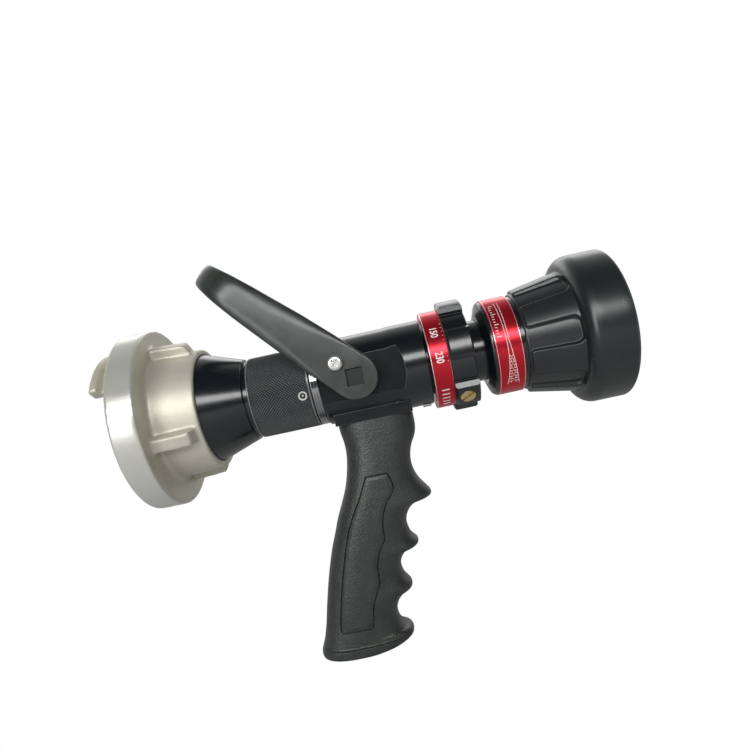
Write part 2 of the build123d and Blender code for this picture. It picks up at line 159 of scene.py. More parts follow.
def finish(name, colour, roughness, metallic=0.0, mottle=0.12, grain=None, turning=None, bevel=0.25,
           edge_wear_and_highlight=None, specular=0.5, blotch=60.0, rim=None, painted_highlight_rings=(), highlight_ring_colour=(0.86, 0.78, 0.76),
           parting=None):
    """A surface with mottled colour and gloss. grain is (size, depth) of a fine texture in mm,
    turning is (pitch, depth) of lathe lines, bevel rounds the edges, and the edge colour is painted on
    every edge, partly as wear and partly as a painted highlight along the edge. rim is (from radius, to
    radius, colour, roughness) of what stands out from the axis in mm, the highlight rings are (x, half
    width) of lighter rings of painted highlight in their own colour, parting is where along X, in mm, the
    mould line on the arms of the bail fades in and out."""
    s = Shader(name)
    tone = s.spread(s.noise(blotch), 0.0, 1.0)
    base = s.mix(tone, shade(colour, 1 - mottle), shade(colour, 1 + mottle))
    smooth, edge = s.edges(bevel * MM) if bevel else (None, None)
    # painted edge highlight and wear: every edge takes a lighter colour, broken up by noise
    if edge_wear_and_highlight:
        scratch = s.spread(s.noise(700.0), 0.35, 1.0, 0.35, 0.6)
        base = s.mix(s.maths("MULTIPLY", edge, scratch), base, shade(edge_wear_and_highlight, 1.0))
    normal = smooth
    rough = s.spread(s.noise(blotch * 2.3), roughness * 0.93, roughness * 1.08)
    if turning:
        pitch, depth = turning
        lines = s.noise(1000.0 / pitch, 1.0, s.stretched((1.0, 0.02, 0.02)))
        normal = s.bump(lines, depth * MM, normal)
    if grain:
        size, depth = grain
        pits = s.noise(1000.0 / size, 2.0)
        normal = s.bump(pits, depth * MM, normal)
        base = s.mix(s.spread(pits, 0.0, 0.35, 0.35, 0.65), base, shade(colour, 0.72))
    if rim:
        low, high, rim_colour, rim_roughness = rim
        share = s.spread(s.radius(), 0.0, 1.0, low * MM, high * MM)
        base = s.mix(share, base, shade(rim_colour, 1.0))
        smoother = s.maths("MULTIPLY", share, roughness - rim_roughness)
        rough = s.maths("SUBTRACT", rough, smoother)
    # painted highlights: lighter rings where an edge round the axis catches the light
    for x, half in painted_highlight_rings:
        highlight_ring_mask = s.maths("COMPARE", s.coordinate("X"), x * MM, half * MM)
        base = s.mix(highlight_ring_mask, base, shade(highlight_ring_colour, 1.0))
    if parting:
        rise = radians(ARM_ANGLE)
        ahead = s.maths("MULTIPLY", s.maths("SUBTRACT", s.coordinate("X"), PIVOT_X * MM), sin(rise))
        off = s.maths("ADD", ahead, s.maths("MULTIPLY", s.coordinate("Z"), cos(rise)))
        near = s.spread(s.maths("ABSOLUTE", off), 0.75, 0.0, 0.05 * MM, 0.22 * MM)
        fade_in, fade_out = parting
        run = s.spread(s.coordinate("X"), 0.0, 1.0, *(x * MM for x in fade_in))
        stop = s.spread(s.coordinate("X"), 1.0, 0.0, *(x * MM for x in fade_out))
        base = s.mix(s.maths("MULTIPLY", near, s.maths("MULTIPLY", run, stop)), base, shade(colour, 0.25))
    if normal is not None:
        s.into(Normal=normal)
    return s.into(Base_Color=base, Roughness=rough, Metallic=metallic, Specular_IOR_Level=specular)


materials = {
    "cast_alloy": finish("blasted_cast_alloy", (0.63, 0.612, 0.512), 0.44, metallic=0.40, mottle=0.07,
                         grain=(0.55, 0.09), bevel=0.8, edge_wear_and_highlight=(0.90, 0.89, 0.84),
                         rim=(48.25, 48.35, (0.60, 0.60, 0.55), 0.15)),
    # the lighter edges of the black parts are a painted edge highlight
    "black_anodised": finish("hard_anodised_black", (0.0056, 0.0078, 0.0098), 0.19, mottle=0.12,
                             turning=(0.22, 0.004), bevel=0.30, edge_wear_and_highlight=(0.10, 0.11, 0.115), specular=0.75),
    "bare_alloy": finish("turned_bare_alloy", (0.70, 0.70, 0.68), 0.24, metallic=0.95, mottle=0.06,
                         turning=(0.16, 0.008), bevel=0.2),
    # the lighter rings on the red parts are painted highlights along their edges
    "red_anodised": finish("red_anodised_alloy", (0.58, 0.014, 0.030), 0.25, metallic=0.72, mottle=0.08,
                           turning=(0.18, 0.004), bevel=0.28, edge_wear_and_highlight=(0.85, 0.66, 0.66), specular=0.7,
                           painted_highlight_rings=((159.95, 0.20), (169.55, 0.11), (194.0, 0.12), (206.9, 0.12))),
    "seal_rubber": finish("seal_rubber", (0.030, 0.028, 0.027), 0.62, mottle=0.2, grain=(0.5, 0.03),
                          bevel=0.3),
    # painted highlights: the bumper's lighter edges and the lighter ring round its front edge
    "bumper_rubber": finish("moulded_bumper_rubber", (0.0150, 0.0190, 0.0200), 0.29, mottle=0.14,
                            grain=(0.35, 0.008), bevel=0.45, specular=0.62, edge_wear_and_highlight=(0.15, 0.165, 0.165),
                            painted_highlight_rings=((259.55, 0.16),), highlight_ring_colour=(0.09, 0.10, 0.10)),
    "handle_plastic": finish("satin_handle_nylon", (0.036, 0.043, 0.038), 0.30, mottle=0.34, blotch=95.0,
                             grain=(0.55, 0.016), bevel=0.3, specular=0.62, edge_wear_and_highlight=(0.11, 0.12, 0.11),
                             parting=((78, 84), (101, 103))),
    "grip_plastic": finish("grained_grip_nylon", (0.026, 0.031, 0.027), 0.40, mottle=0.22, blotch=180.0,
                           grain=(1.15, 0.22), bevel=0.3, specular=0.62),
    "seat_plastic": finish("ball_seat_polymer", (0.74, 0.73, 0.69), 0.40, mottle=0.05, grain=(0.6, 0.01)),
    "steel": finish("stainless_steel", (0.58, 0.57, 0.55), 0.24, metallic=1.0, mottle=0.06,
                    turning=(0.2, 0.006), bevel=0.15),
    "zinc_screw": finish("zinc_plated_steel", (0.74, 0.74, 0.72), 0.30, metallic=0.85, mottle=0.12,
                         grain=(0.4, 0.012), bevel=0.25),
    "brass": finish("turned_brass", (0.72, 0.56, 0.26), 0.28, metallic=0.9, mottle=0.12,
                    turning=(0.25, 0.01), bevel=0.2),
}
knurl = finish("knurled_anodised_black", (0.0070, 0.0085, 0.0100), 0.30, mottle=0.2, bevel=0, specular=0.8,
               rim=(22.10, 22.40, (0.26, 0.275, 0.28), 0.22))
black_oxide = finish("black_oxide_steel", (0.006, 0.008, 0.009), 0.42, metallic=0.2, mottle=0.2, bevel=0.15,
                     grain=(0.5, 0.01))
dark_nickel = finish("polished_flange", (0.36, 0.36, 0.37), 0.10, metallic=0.95, mottle=0.05, bevel=0.15,
                     turning=(0.3, 0.001))
ink = finish("white_print", (0.86, 0.82, 0.80), 0.50, mottle=0.10, grain=(0.3, 0.004), bevel=0)


def steel_with_painted_socket_shade(name, centre, axis):
    """Bright steel with a dark ring of painted shade round the middle of its face, where the key socket
    lies in shade.
    """
    s = Shader(name)
    off = s.vector("SUBTRACT", s.place, centre)["Vector"]
    away = s.vector("LENGTH", s.vector("CROSS_PRODUCT", off, axis)["Vector"])["Value"]
    outer = s.spread(away, 1.0, 0.0, 1.45 * MM, 1.65 * MM)
    inner = s.spread(away, 0.0, 1.0, 0.45 * MM, 0.70 * MM)
    tone = s.mix(s.spread(s.noise(300.0), 0.0, 1.0), (0.68, 0.68, 0.66, 1), (0.80, 0.80, 0.78, 1))
    # painted shade: the key socket is darkened in a ring round the centre of the face
    base = s.mix(s.maths("MULTIPLY", outer, inner), tone, (0.035, 0.036, 0.038, 1))
    return s.into(Base_Color=base, Roughness=0.28, Metallic=0.8)


slot_of = {part["node"]: part["material_slot"] for part in frame["record"]["subparts"]}


# ---------------------------------------------------------------- mesh tools

def piece(name, verts, faces, material, body, replaced=(), sharp=40.0):
    """A new mesh piece in metres, riding on a body."""
    mesh = bpy.data.meshes.new(name)
    mesh.from_pydata([tuple(v) for v in verts], [], faces)
    mesh.validate()
    obj = bpy.data.objects.new(name, mesh)
    bpy.context.scene.collection.objects.link(obj)
    settle(obj, material, body, replaced, sharp)


def settle(obj, material, body, replaced=(), sharp=40.0):
    """Outward normals, shading, material and body of a piece whose mesh is final."""
    mend(obj.data)
    obj.data.materials.clear()
    obj.data.materials.append(material)
    obj.data.shade_smooth()
    obj.data.set_sharp_from_angle(angle=radians(sharp))
    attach(obj, body)
    if replaced:
        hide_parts(*replaced)


def mend(mesh, weld=0.0):
    """Joins the vertices nearer than weld, and turns all faces outwards."""
    bm = bmesh.new()
    bm.from_mesh(mesh)
    if weld:
        bmesh.ops.remove_doubles(bm, verts=bm.verts, dist=weld)
    bmesh.ops.recalc_face_normals(bm, faces=bm.faces)
    bm.to_mesh(mesh)
    bm.free()


def cut(obj, *tools):
    """Takes closed tool meshes away from a piece's mesh."""
    for tool in tools:
        modifier = obj.modifiers.new("cut", "BOOLEAN")
        modifier.object = tool
        modifier.operation = "DIFFERENCE"
        modifier.solver = "EXACT"
    bake_modifiers(obj)
    for tool in tools:
        bpy.data.objects.remove(tool)


def bake_modifiers(obj):
    graph = bpy.context.evaluated_depsgraph_get()
    mesh = bpy.data.meshes.new_from_object(obj.evaluated_get(graph))
    obj.modifiers.clear()
    obj.data = mesh


def loose_mesh(name, verts, faces):
    mesh = bpy.data.meshes.new(name)
    mesh.from_pydata([tuple(v) for v in verts], [], faces)
    obj = bpy.data.objects.new(name, mesh)
    bpy.context.scene.collection.objects.link(obj)
    return obj


def grid_faces(rows, columns, close_rows=False):
    """Quads over a grid of rows x columns vertices, row by row, each row a closed loop."""
    faces = []
    for i in range(rows if close_rows else rows - 1):
        for j in range(columns):
            a, b = i * columns + j, i * columns + (j + 1) % columns
            c, d = (i + 1) % rows * columns + (j + 1) % columns, (i + 1) % rows * columns + j
            faces.append((a, b, c, d))
    return faces


def around(x, r, angle):
    """A point about the nozzle axis, from mm and degrees to metres."""
    a = radians(angle)
    return (x * MM, -r * cos(a) * MM, r * sin(a) * MM)


def arc(cx, cr, radius, start, end, steps):
    """Points of an arc in the (x, radius) plane, angles in degrees from +x towards +r."""
    return [
        (cx + radius * cos(radians(start + (end - start) * i / steps)),
         cr + radius * sin(radians(start + (end - start) * i / steps)))
        for i in range(steps + 1)
    ]


def line(a, b, steps):
    """Points from a to b, without b."""
    return [(a[0] + (b[0] - a[0]) * i / steps, a[1] + (b[1] - a[1]) * i / steps) for i in range(steps)]


def bar(name, start, end, radius, sides=24):
    """A closed round bar between two points in mm."""
    a, b = Vector(start) * MM, Vector(end) * MM
    turn = (b - a).to_track_quat("Z", "Y")
    turns = [2 * pi * i / sides for i in range(sides)]
    ring = [turn @ Vector((cos(t), sin(t), 0)) * radius * MM for t in turns]
    faces = [(i, (i + 1) % sides, sides + (i + 1) % sides, sides + i) for i in range(sides)]
    faces += [tuple(range(sides))[::-1], tuple(range(sides, 2 * sides))]
    return loose_mesh(name, [a + p for p in ring] + [b + p for p in ring], faces)


def along(table, value):
    """Straight-line reading of a table of (place, value) pairs."""
    places, values = zip(*table)
    return float(np.interp(value, places, values))


def smooth_step(value):
    t = min(1.0, max(0.0, value))
    return t * t * (3 - 2 * t)


def curve_through(points, step):
    """Evenly spaced points, step mm apart, on a smooth open curve through the given points."""
    p = np.array(points, float)
    chord = np.sqrt(np.maximum(np.hypot(*np.diff(p, axis=0).T), 1e-9))
    t = np.concatenate([[0], np.cumsum(chord)])
    slope = np.empty_like(p)
    slope[1:-1] = (p[2:] - p[:-2]) / (t[2:] - t[:-2])[:, None]
    slope[0], slope[-1] = (p[1] - p[0]) / chord[0], (p[-1] - p[-2]) / chord[-1]
    dense = []
    for i in range(len(p) - 1):
        h = t[i + 1] - t[i]
        for u in np.linspace(0, 1, 40, endpoint=False):
            a, b = 2 * u**3 - 3 * u**2 + 1, u**3 - 2 * u**2 + u
            c, d = -2 * u**3 + 3 * u**2, u**3 - u**2
            dense.append(a * p[i] + b * h * slope[i] + c * p[i + 1] + d * h * slope[i + 1])
    dense.append(p[-1])
    dense = np.array(dense)
    run = np.concatenate([[0], np.cumsum(np.hypot(*np.diff(dense, axis=0).T))])
    places = np.linspace(0, run[-1], max(2, int(run[-1] / step)))
    return np.column_stack([np.interp(places, run, dense[:, k]) for k in (0, 1)])


# ---------------------------------------------------------------- pistol grip

# outlines in the side view, as (x, z) from the top down
GRIP_REAR = [
    (104.0, -24.0), (104.4, -29.0), (105.2, -35.6), (104.9, -42.1), (103.4, -49.7), (100.6, -58.7),
    (96.9, -66.6), (92.8, -74.8), (89.6, -82.5), (86.1, -90.6), (81.2, -104.9), (77.1, -119.3),
    (74.5, -129.5), (72.2, -137.0), (70.6, -140.8), (69.4, -143.6), (69.3, -145.6), (70.0, -146.9),
    (71.6, -147.3),
]
GRIP_FRONT = [
    (146.0, -24.0), (145.8, -32.5), (144.5, -37.4), (141.3, -43.3), (139.6, -49.4), (139.6, -55.5),
    (141.6, -61.7), (145.0, -66.9), (146.7, -69.6), (146.4, -71.4), (144.0, -72.5), (139.2, -73.2),
    (134.6, -75.5), (131.3, -79.5), (130.0, -83.8), (130.3, -88.0), (131.4, -91.2), (133.8, -94.0),
    (134.2, -95.6), (132.6, -97.2), (127.2, -98.7), (123.4, -102.4), (122.0, -106.8), (122.8, -111.9),
    (125.4, -116.0), (126.0, -117.9), (124.9, -119.5), (120.8, -121.4), (117.2, -124.7), (115.0, -129.6),
    (115.0, -134.4), (116.0, -137.2), (118.0, -139.2), (120.6, -140.2), (121.6, -142.0), (121.2, -143.6),
    (119.0, -145.2), (115.0, -146.6), (110.5, -147.3),
]
PANEL_REAR = [
    (113.8, -53.6), (111.6, -57.6), (108.6, -63.4), (103.7, -71.2), (99.2, -79.4), (95.0, -89.9),
    (89.9, -105.8), (85.6, -121.4), (83.7, -131.4), (84.2, -133.2),
]
PANEL_FRONT = [
    (125.4, -53.6), (126.6, -57.8), (127.0, -62.6), (124.2, -66.4), (121.1, -70.4), (118.4, -76.4),
    (117.2, -82.4), (116.6, -88.4), (113.0, -93.6), (110.0, -101.6), (109.2, -110.7), (106.4, -116.0),
    (103.4, -122.4), (101.6, -131.0), (100.6, -133.2),
]
PANEL_TOP, PANEL_BOTTOM = -53.6, -133.2
GROOVE = 0.42          # half width of the groove round the panel
GROOVE_DEPTH = 0.9
GRIP_BASE = -147.3
# half width of the grip, as (z, half width)
GRIP_HALF = [(GRIP_BASE, 15.2), (-146.5, 15.9), (-142.5, 16.0), (-142.0, 14.8), (-141.2, 14.6),
             (-130.0, 14.3), (-100.0, 14.6), (-75.0, 15.2), (-50.0, 15.4), (-24.0, 15.2)]
REAR_POWER, FRONT_POWER = 2.5, 2.7     # roundness of the section behind and ahead of its middle
PANEL_MARGIN = 8.0     # least distance from the panel's groove to the outline
PANEL_CROWN = 0.35     # how far the panel swells past the grip round it
BOLT = Vector((123.0, 0, -24.0))       # where the axis of the bolt's hole meets the valve body
BOLT_LEAN = radians(12.3)
HOLLOW, HOLLOW_CORNER = 8.5, 2.0       # half width and corner of the hole in the base
HOLLOW_RINGS = [(0.0, 0.6), (0.6, 0.0), (20.0, 0.0), (50.0, 0.0), (84.5, 0.0)]     # depth, growth
# front line through the finger hollows, as (z, x)
GRIP_HOLLOWS = [(GRIP_BASE, 111.0), (-132.0, 114.9), (-106.8, 122.0), (-83.8, 130.0), (-52.5, 139.6),
                (-37.4, 143.4), (-24.0, 146.0)]


def grip_mesh():
    """Closed loops at falling heights: rear half-round, groove, side panel, groove, front half-round."""
    rear = curve_through(GRIP_REAR, 0.4)
    front = curve_through(GRIP_FRONT, 0.4)
    panel_rear = curve_through(PANEL_REAR, 0.5)
    panel_front = curve_through(PANEL_FRONT, 0.5)

    def reads(curve):
        order = np.argsort(curve[:, 1])
        return lambda z: float(np.interp(z, curve[order, 1], curve[order, 0]))

    rear_at, front_at, left_at, right_at = reads(rear), reads(front), reads(panel_rear), reads(panel_front)
    heights = curve_through(GRIP_FRONT, 0.62)[:, 1].tolist()
    heights += np.linspace(-140.6, GRIP_BASE, 26).tolist()
    for edge in (PANEL_TOP, PANEL_BOTTOM):
        heights = [z for z in heights if abs(z - edge) > 1.0]
        heights += [edge + d * GROOVE for d in (-2.3, -1.5, -1.0, -0.55, 0.0, 0.55, 1.0, 1.5, 2.3)]
    heights = sorted(set(round(z, 3) for z in heights), reverse=True)
    heights = [z for i, z in enumerate(heights) if i == 0 or heights[i - 1] - z > 0.05 or z == GRIP_BASE]
    side, panel = 16, 20       # columns of a half-round and of the panel
    # columns over a groove, in half widths of it
    shift = [-2.6, -1.6, -1.0, -0.55, 0.0, 0.55, 1.0, 1.6, 2.6]
    verts = []
    for z in heights:
        x0, x1 = rear_at(z), front_at(z)
        half = along(GRIP_HALF, z)
        mid = (x0 + along(GRIP_HOLLOWS, z)) / 2
        back, ahead = mid - x0, x1 - mid
        inside = PANEL_BOTTOM < z < PANEL_TOP
        clip = min(PANEL_TOP, max(PANEL_BOTTOM, z))
        left, right = left_at(clip), right_at(clip)
        left, right = max(left, x0 + PANEL_MARGIN), min(right, x1 - PANEL_MARGIN)
        limit = left + shift[0] * GROOVE
        start = acos(min(1.0, max(-1.0, (mid - limit) / back)))
        xs = [mid - back * cos(start * (i / side)) for i in range(side)]
        xs += [left + s * GROOVE for s in shift]
        inner_left, inner_right = xs[-1], right - shift[-1] * GROOVE
        xs += [inner_left + (inner_right - inner_left) * (i + 1) / (panel + 1) for i in range(panel)]
        xs += [right + s * GROOVE for s in shift]
        stop = acos(min(1.0, max(-1.0, (xs[-1] - mid) / ahead)))
        xs += [mid + ahead * cos(stop * (1 - (i + 1) / side)) for i in range(side)]
        ys = []
        for x in xs:
            v = min(1.0, abs(x - mid) / (back if x < mid else ahead))
            power = REAR_POWER if x < mid else FRONT_POWER
            y = half * max(0.0, 1 - v**power) ** (1 / power)
            across = min(abs(x - left), abs(x - right)) if inside else 9.0
            if abs(z - PANEL_TOP) < 2 * GROOVE or abs(z - PANEL_BOTTOM) < 2 * GROOVE:
                if left <= x <= right:
                    across = min(across, abs(z - PANEL_TOP), abs(z - PANEL_BOTTOM))
            y -= GROOVE_DEPTH * (1 - smooth_step(across / GROOVE))
            if inside and left < x < right:
                edge = min(x - left, right - x, z - PANEL_BOTTOM, PANEL_TOP - z)
                y += PANEL_CROWN * smooth_step((edge - GROOVE) / 2.0)
            ys.append(max(0.0, y))
        near = [(x, -y) for x, y in zip(xs, ys)]
        far = [(x, y) for x, y in zip(xs[1:-1], ys[1:-1])][::-1]
        verts += [(x * MM, y * MM, z * MM) for x, y in near + far]
    count = len(near + far)
    rows = len(heights)
    faces = grid_faces(rows, count)
    top = len(verts)
    faces.append(tuple(range(count)))
    # the base turns into the square hollow of the grip, which leans with the bolt
    down = Vector((-sin(BOLT_LEAN), 0, -cos(BOLT_LEAN)))
    last = [Vector(v) / MM for v in verts[(rows - 1) * count:]]
    centre_x = BOLT.x - (BOLT.z - GRIP_BASE) * sin(BOLT_LEAN) / cos(BOLT_LEAN)
    rings = []
    for depth, grow in HOLLOW_RINGS:
        ring = []
        for p in last:
            a = atan2(p.y, p.x - centre_x)
            c, d = cos(a), sin(a)
            chamfer = (abs(c) + abs(d)) / (2 - HOLLOW_CORNER / HOLLOW * 0.6)
            reach = (HOLLOW + grow) / max(abs(c), abs(d), chamfer)
            base = Vector((centre_x + reach * c / cos(BOLT_LEAN), reach * d, GRIP_BASE))
            ring.append(base - down * depth)
        rings.append(ring)
    for ring in rings:
        verts += [tuple(p * MM) for p in ring]
    start = (rows - 1) * count
    for k in range(len(rings)):
        a0 = start if k == 0 else top + (k - 1) * count
        b0 = top + k * count
        faces += [(a0 + j, a0 + (j + 1) % count, b0 + (j + 1) % count, b0 + j) for j in range(count)]
    faces.append(tuple(range(top + (len(rings) - 1) * count, top + len(rings) * count))[::-1])
    return verts, faces


verts, faces = grip_mesh()
piece("grip_moulding", verts, faces, materials["grip_plastic"], "valve_body",
      ["pistol_grip"], sharp=50)


# ---------------------------------------------------------------- bail handle

ARM_MID = 25.35        # from the centre plane to the middle of an arm
ARM_REACH = 104.0
BAIL_THICK = 5.9
BAIL_BEND = 24.0       # radius of the corners, to the middle of the arm
SQUARE_HALF = 4.45     # half of the hole over the square stem
BEND_STEPS, ARM_STEPS, ROUND_STEPS = 22, 34, 14
# from the pivot along the arm: its half heights above and below, and the rounding of its edges
UPPER_HALF = [(-12, 11.9), (20, 11.8), (41, 11.0), (56, 9.9), (69, 9.0), (81, 7.9), (92, 6.6), (104, 5.4)]
LOWER_HALF = [(-12, 11.9), (20, 11.8), (41, 11.4), (56, 10.8), (69, 10.2), (81, 9.2), (92, 8.1), (104, 6.9)]
EDGE_ROUND = [(-12, 0.9), (10, 1.2), (24, 4.0), (40, 7.0), (60, 8.0), (82, 7.0), (104, 5.4)]
PIVOT_ROUND = 11.9


def bail_point(s, y, w):
    """From along the open arm, across, and above the arm, to metres."""
    a = radians(ARM_ANGLE)
    return ((PIVOT_X - s * cos(a) + w * sin(a)) * MM, y * MM, (s * sin(a) + w * cos(a)) * MM)


def bail_mesh():
    """Rounded sections along a path over one arm, its bend, the bar and the other arm. A station of the
    path is (along, across) and the outward direction (across, along)."""
    middle = ARM_REACH - BAIL_THICK / 2 - 0.3
    stations = []
    for k in range(ROUND_STEPS + 1):
        turn = pi / 2 * (k / ROUND_STEPS)
        stations.append((-PIVOT_ROUND * cos(turn) * 0.9995, -ARM_MID, -1.0, 0.0))
    straight = middle - BAIL_BEND
    stations += [(straight * (k / ARM_STEPS), -ARM_MID, -1.0, 0.0) for k in range(1, ARM_STEPS)]
    for k in range(BEND_STEPS + 1):
        turn = radians(90 * k / BEND_STEPS)
        stations.append((straight + BAIL_BEND * sin(turn), -ARM_MID + BAIL_BEND * (1 - cos(turn)),
                         -cos(turn), sin(turn)))
    half_bar = ARM_MID - BAIL_BEND
    stations += [(middle, -half_bar + half_bar * k / 3, 0.0, 1.0) for k in range(1, 4)]
    stations += [(s, -y, -ny, ns) for s, y, ny, ns in stations[:-1]][::-1]
    verts = []
    for s, y, ny, ns in stations:
        up, low = along(UPPER_HALF, s), along(LOWER_HALF, s)
        if s < 0:
            shrink = sqrt(max(0.0, 1 - (s / PIVOT_ROUND) ** 2))
            up, low = up * shrink, low * shrink
        t = BAIL_THICK / 2
        wide = min(along(EDGE_ROUND, s), 0.8 * up, 0.8 * low)
        loop = []
        for w_side, n_side, part in ((up, t, 1.0), (up, -t, 0.5), (-low, -t, 0.5), (-low, t, 1.0)):
            sw, sn = (1 if w_side > 0 else -1), (1 if n_side > 0 else -1)
            rw = wide * part
            rn = min(t * 0.92, 0.6 + rw * 0.28)
            cw, cn = w_side - sw * rw, n_side - sn * rn
            for k in range(7):
                b = radians(15 * k) if sw == sn else radians(90 - 15 * k)
                loop.append((cw + sw * rw * sin(b), cn + sn * rn * cos(b)))
        for w, n in loop:
            verts.append(bail_point(s + n * ns, y + n * ny, w))
    count = 28
    rows = len(stations)
    faces = grid_faces(rows, count)
    faces.append(tuple(range(count))[::-1])
    faces.append(tuple(range((rows - 1) * count, rows * count)))
    return verts, faces


verts, faces = bail_mesh()
bail = loose_mesh("bail_moulding", verts, faces)
square = [(-SQUARE_HALF, -SQUARE_HALF), (SQUARE_HALF, -SQUARE_HALF),
          (SQUARE_HALF, SQUARE_HALF), (-SQUARE_HALF, SQUARE_HALF)]
corners = [(PIVOT_X + u, y, w) for y in (-40, 40) for u, w in square]
hole = loose_mesh("hole", [Vector(c) * MM for c in corners],
                  [(0, 1, 2, 3), (7, 6, 5, 4), (0, 4, 5, 1), (1, 5, 6, 2), (2, 6, 7, 3), (3, 7, 4, 0)])
for mesh in (bail.data, hole.data):
    mend(mesh, weld=1e-6)
cut(bail, hole)
settle(bail, materials["handle_plastic"], "bail", ["bail_handle"], sharp=32)


# ---------------------------------------------------------------- knurled collar

COLLAR_BACK, COLLAR_FRONT = 62.5, 95.9
KNURL_COLUMNS = 170
KNURL_START, KNURL_END, KNURL_PITCH = 63.9, 94.6, 0.82
KNURL_DEPTH = 0.46
SHOULDER = 22.25       # radius of the plain ends of the collar
PLUG_X, PLUG_HOLE = 91.2, 2.42         # place along the axis and radius of the hole round the race plug
COLLAR = 22.4          # radius over the points of the knurl
BORE_START, SPIGOT, SWIVEL_BORE = 72.0, 19.4, 18.65


def collar_mesh():
    """The collar's outline turned about the axis, with every second point of the knurl raised."""
    rows = round((KNURL_END - KNURL_START) / KNURL_PITCH)
    low = COLLAR - KNURL_DEPTH
    profile = [(COLLAR_BACK, 21.7, 0), (62.6, 22.05, 0), (62.9, SHOULDER, 0), (63.4, SHOULDER, 0),
               (63.7, low, 0)]
    profile += [(KNURL_START + KNURL_PITCH * i, low, 1) for i in range(rows + 1)]
    end = profile[-1][0]
    profile += [(end + 0.2, low, 0), (end + 0.45, SHOULDER, 0), (95.5, SHOULDER, 0), (95.8, 22.05, 0),
                (COLLAR_FRONT, 21.7, 0), (COLLAR_FRONT, SWIVEL_BORE, 0)]
    profile += [(BORE_START, SWIVEL_BORE, 0), (BORE_START, SPIGOT, 0), (COLLAR_BACK, SPIGOT, 0)]
    verts = []
    for i, (x, r, knurled) in enumerate(profile):
        for j in range(KNURL_COLUMNS):
            lift = KNURL_DEPTH if knurled and (i + j) % 2 == 0 else 0.0
            verts.append(around(x, r + lift, 360 * j / KNURL_COLUMNS))
    faces = []
    for i in range(len(profile)):
        for j in range(KNURL_COLUMNS):
            a, b = i * KNURL_COLUMNS + j, i * KNURL_COLUMNS + (j + 1) % KNURL_COLUMNS
            ii = (i + 1) % len(profile)
            c, d = ii * KNURL_COLUMNS + (j + 1) % KNURL_COLUMNS, ii * KNURL_COLUMNS + j
            if profile[i][2] and profile[ii][2]:
                faces += [(a, b, d), (b, c, d)] if (i + j) % 2 == 0 else [(a, b, c), (a, c, d)]
            else:
                faces.append((a, b, c, d))
    return verts, faces


verts, faces = collar_mesh()
collar = loose_mesh("knurled_collar", verts, faces)
plug_low, plug_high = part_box("race_plug")
plug_middle = (plug_low + plug_high) / 2
plug_angle = degrees(atan2(plug_middle.z, -plug_middle.y))
mend(collar.data)
plug_line = [Vector(around(PLUG_X, r, plug_angle)) / MM for r in (19.0, 26.0)]
cut(collar, bar("plug_hole", *plug_line, PLUG_HOLE, 40))
settle(collar, knurl, "inlet_swivel", ["swivel_collar"], sharp=28)


# ---------------------------------------------------------------- rubber bumper

PAD_COUNT = 7
PAD_COLUMNS = 64
FLUTE_ANGLE = -0.6     # of the middle of the flute that faces -Y
PAD_SWEEP = 26.5       # between the middles of a pad's two sides
PAD_EDGE = 2.4         # degrees over which a pad's side falls to the flute floor
FLUTE_CLOSE, FLUTE_OPEN = 4.5, 1.8     # degrees by which a flute narrows in front and widens behind
FLUTE_FRONT, FLUTE_BACK = 232.0, 212.6     # where along X that begins


def straight_line(a, b):
    """The radius at x on the straight line through two (x, radius) points."""
    return lambda x: a[1] + (x - a[0]) * (b[1] - a[1]) / (b[0] - a[0])


def bumper_mesh():
    """Two outlines, along a flute and along a pad, blended round the axis."""
    floor_line = straight_line((209.7, 26.6), (236.8, 30.8))
    pad_line = straight_line((211.0, 28.4), (236.8, 33.2))
    lower = [(209.7, 24.2), (209.7, 26.1), (209.9, 26.45), (210.3, 26.62)]
    upper = list(lower)
    stops = [210.6, 210.65, 210.75, 211.0, 211.5, 212.2, 213.5] + [213.5 + 2.2 * i for i in range(1, 10)]
    stops += [234.2, 234.8, 235.3, 235.7, 236.0]
    rise = [0.0, 0.35, 0.68, 0.90, 0.985, 1.0, 1.0]
    for i, x in enumerate(stops):
        share = rise[i] if i < len(rise) else 1.0
        lower.append((x, floor_line(x)))
        upper.append((x, floor_line(x) + (pad_line(x) - floor_line(x)) * share))
    for floor_point, pad_point in (
        ((236.35, 30.95), (236.2, 33.1)), ((236.68, 31.3), (236.4, 33.16)),
        ((236.8, 31.9), (236.6, 33.25)), ((236.8, 32.7), (236.75, 33.35)),
    ):
        lower.append(floor_point)
        upper.append(pad_point)
    rest = arc(244.0, 33.45, 7.2, 180, 90, 14)
    rest += line((246.0, 40.65), (259.0, 40.65), 4)
    rest += arc(259.1, 39.05, 1.6, 90, 0, 6)
    rest += [(260.7, 37.6)] + arc(259.6, 36.7, 1.1, 0, -55, 4)
    rest += line((259.0, 34.6), (256.0, 31.0), 3)
    rest += [(256.0, 31.0), (256.0, 34.0), (244.0, 34.0), (236.0, 27.8)]
    lower += rest
    upper += rest
    columns = PAD_COUNT * PAD_COLUMNS
    pitch = 360 / PAD_COUNT
    verts = []
    for (x0, r0), (x1, r1) in zip(lower, upper):
        flute = (pitch - PAD_SWEEP) / 2
        flute -= FLUTE_CLOSE * max(0.0, (x0 - FLUTE_FRONT) / 4.8) ** 2.5
        flute += FLUTE_OPEN * max(0.0, (FLUTE_BACK - x0) / 2.0) ** 2
        for j in range(columns):
            angle = 360 * j / columns
            off = abs((angle - FLUTE_ANGLE + pitch / 2) % pitch - pitch / 2)
            share = smooth_step((off - flute + PAD_EDGE / 2) / PAD_EDGE)
            verts.append(around(x0 + (x1 - x0) * share, r0 + (r1 - r0) * share, angle))
    return verts, grid_faces(len(lower), columns, close_rows=True)


verts, faces = bumper_mesh()
piece("bumper_moulding", verts, faces, materials["bumper_rubber"], "pattern_sleeve",
      ["rubber_bumper"], sharp=60)


# ---------------------------------------------------------------- cast lug ring

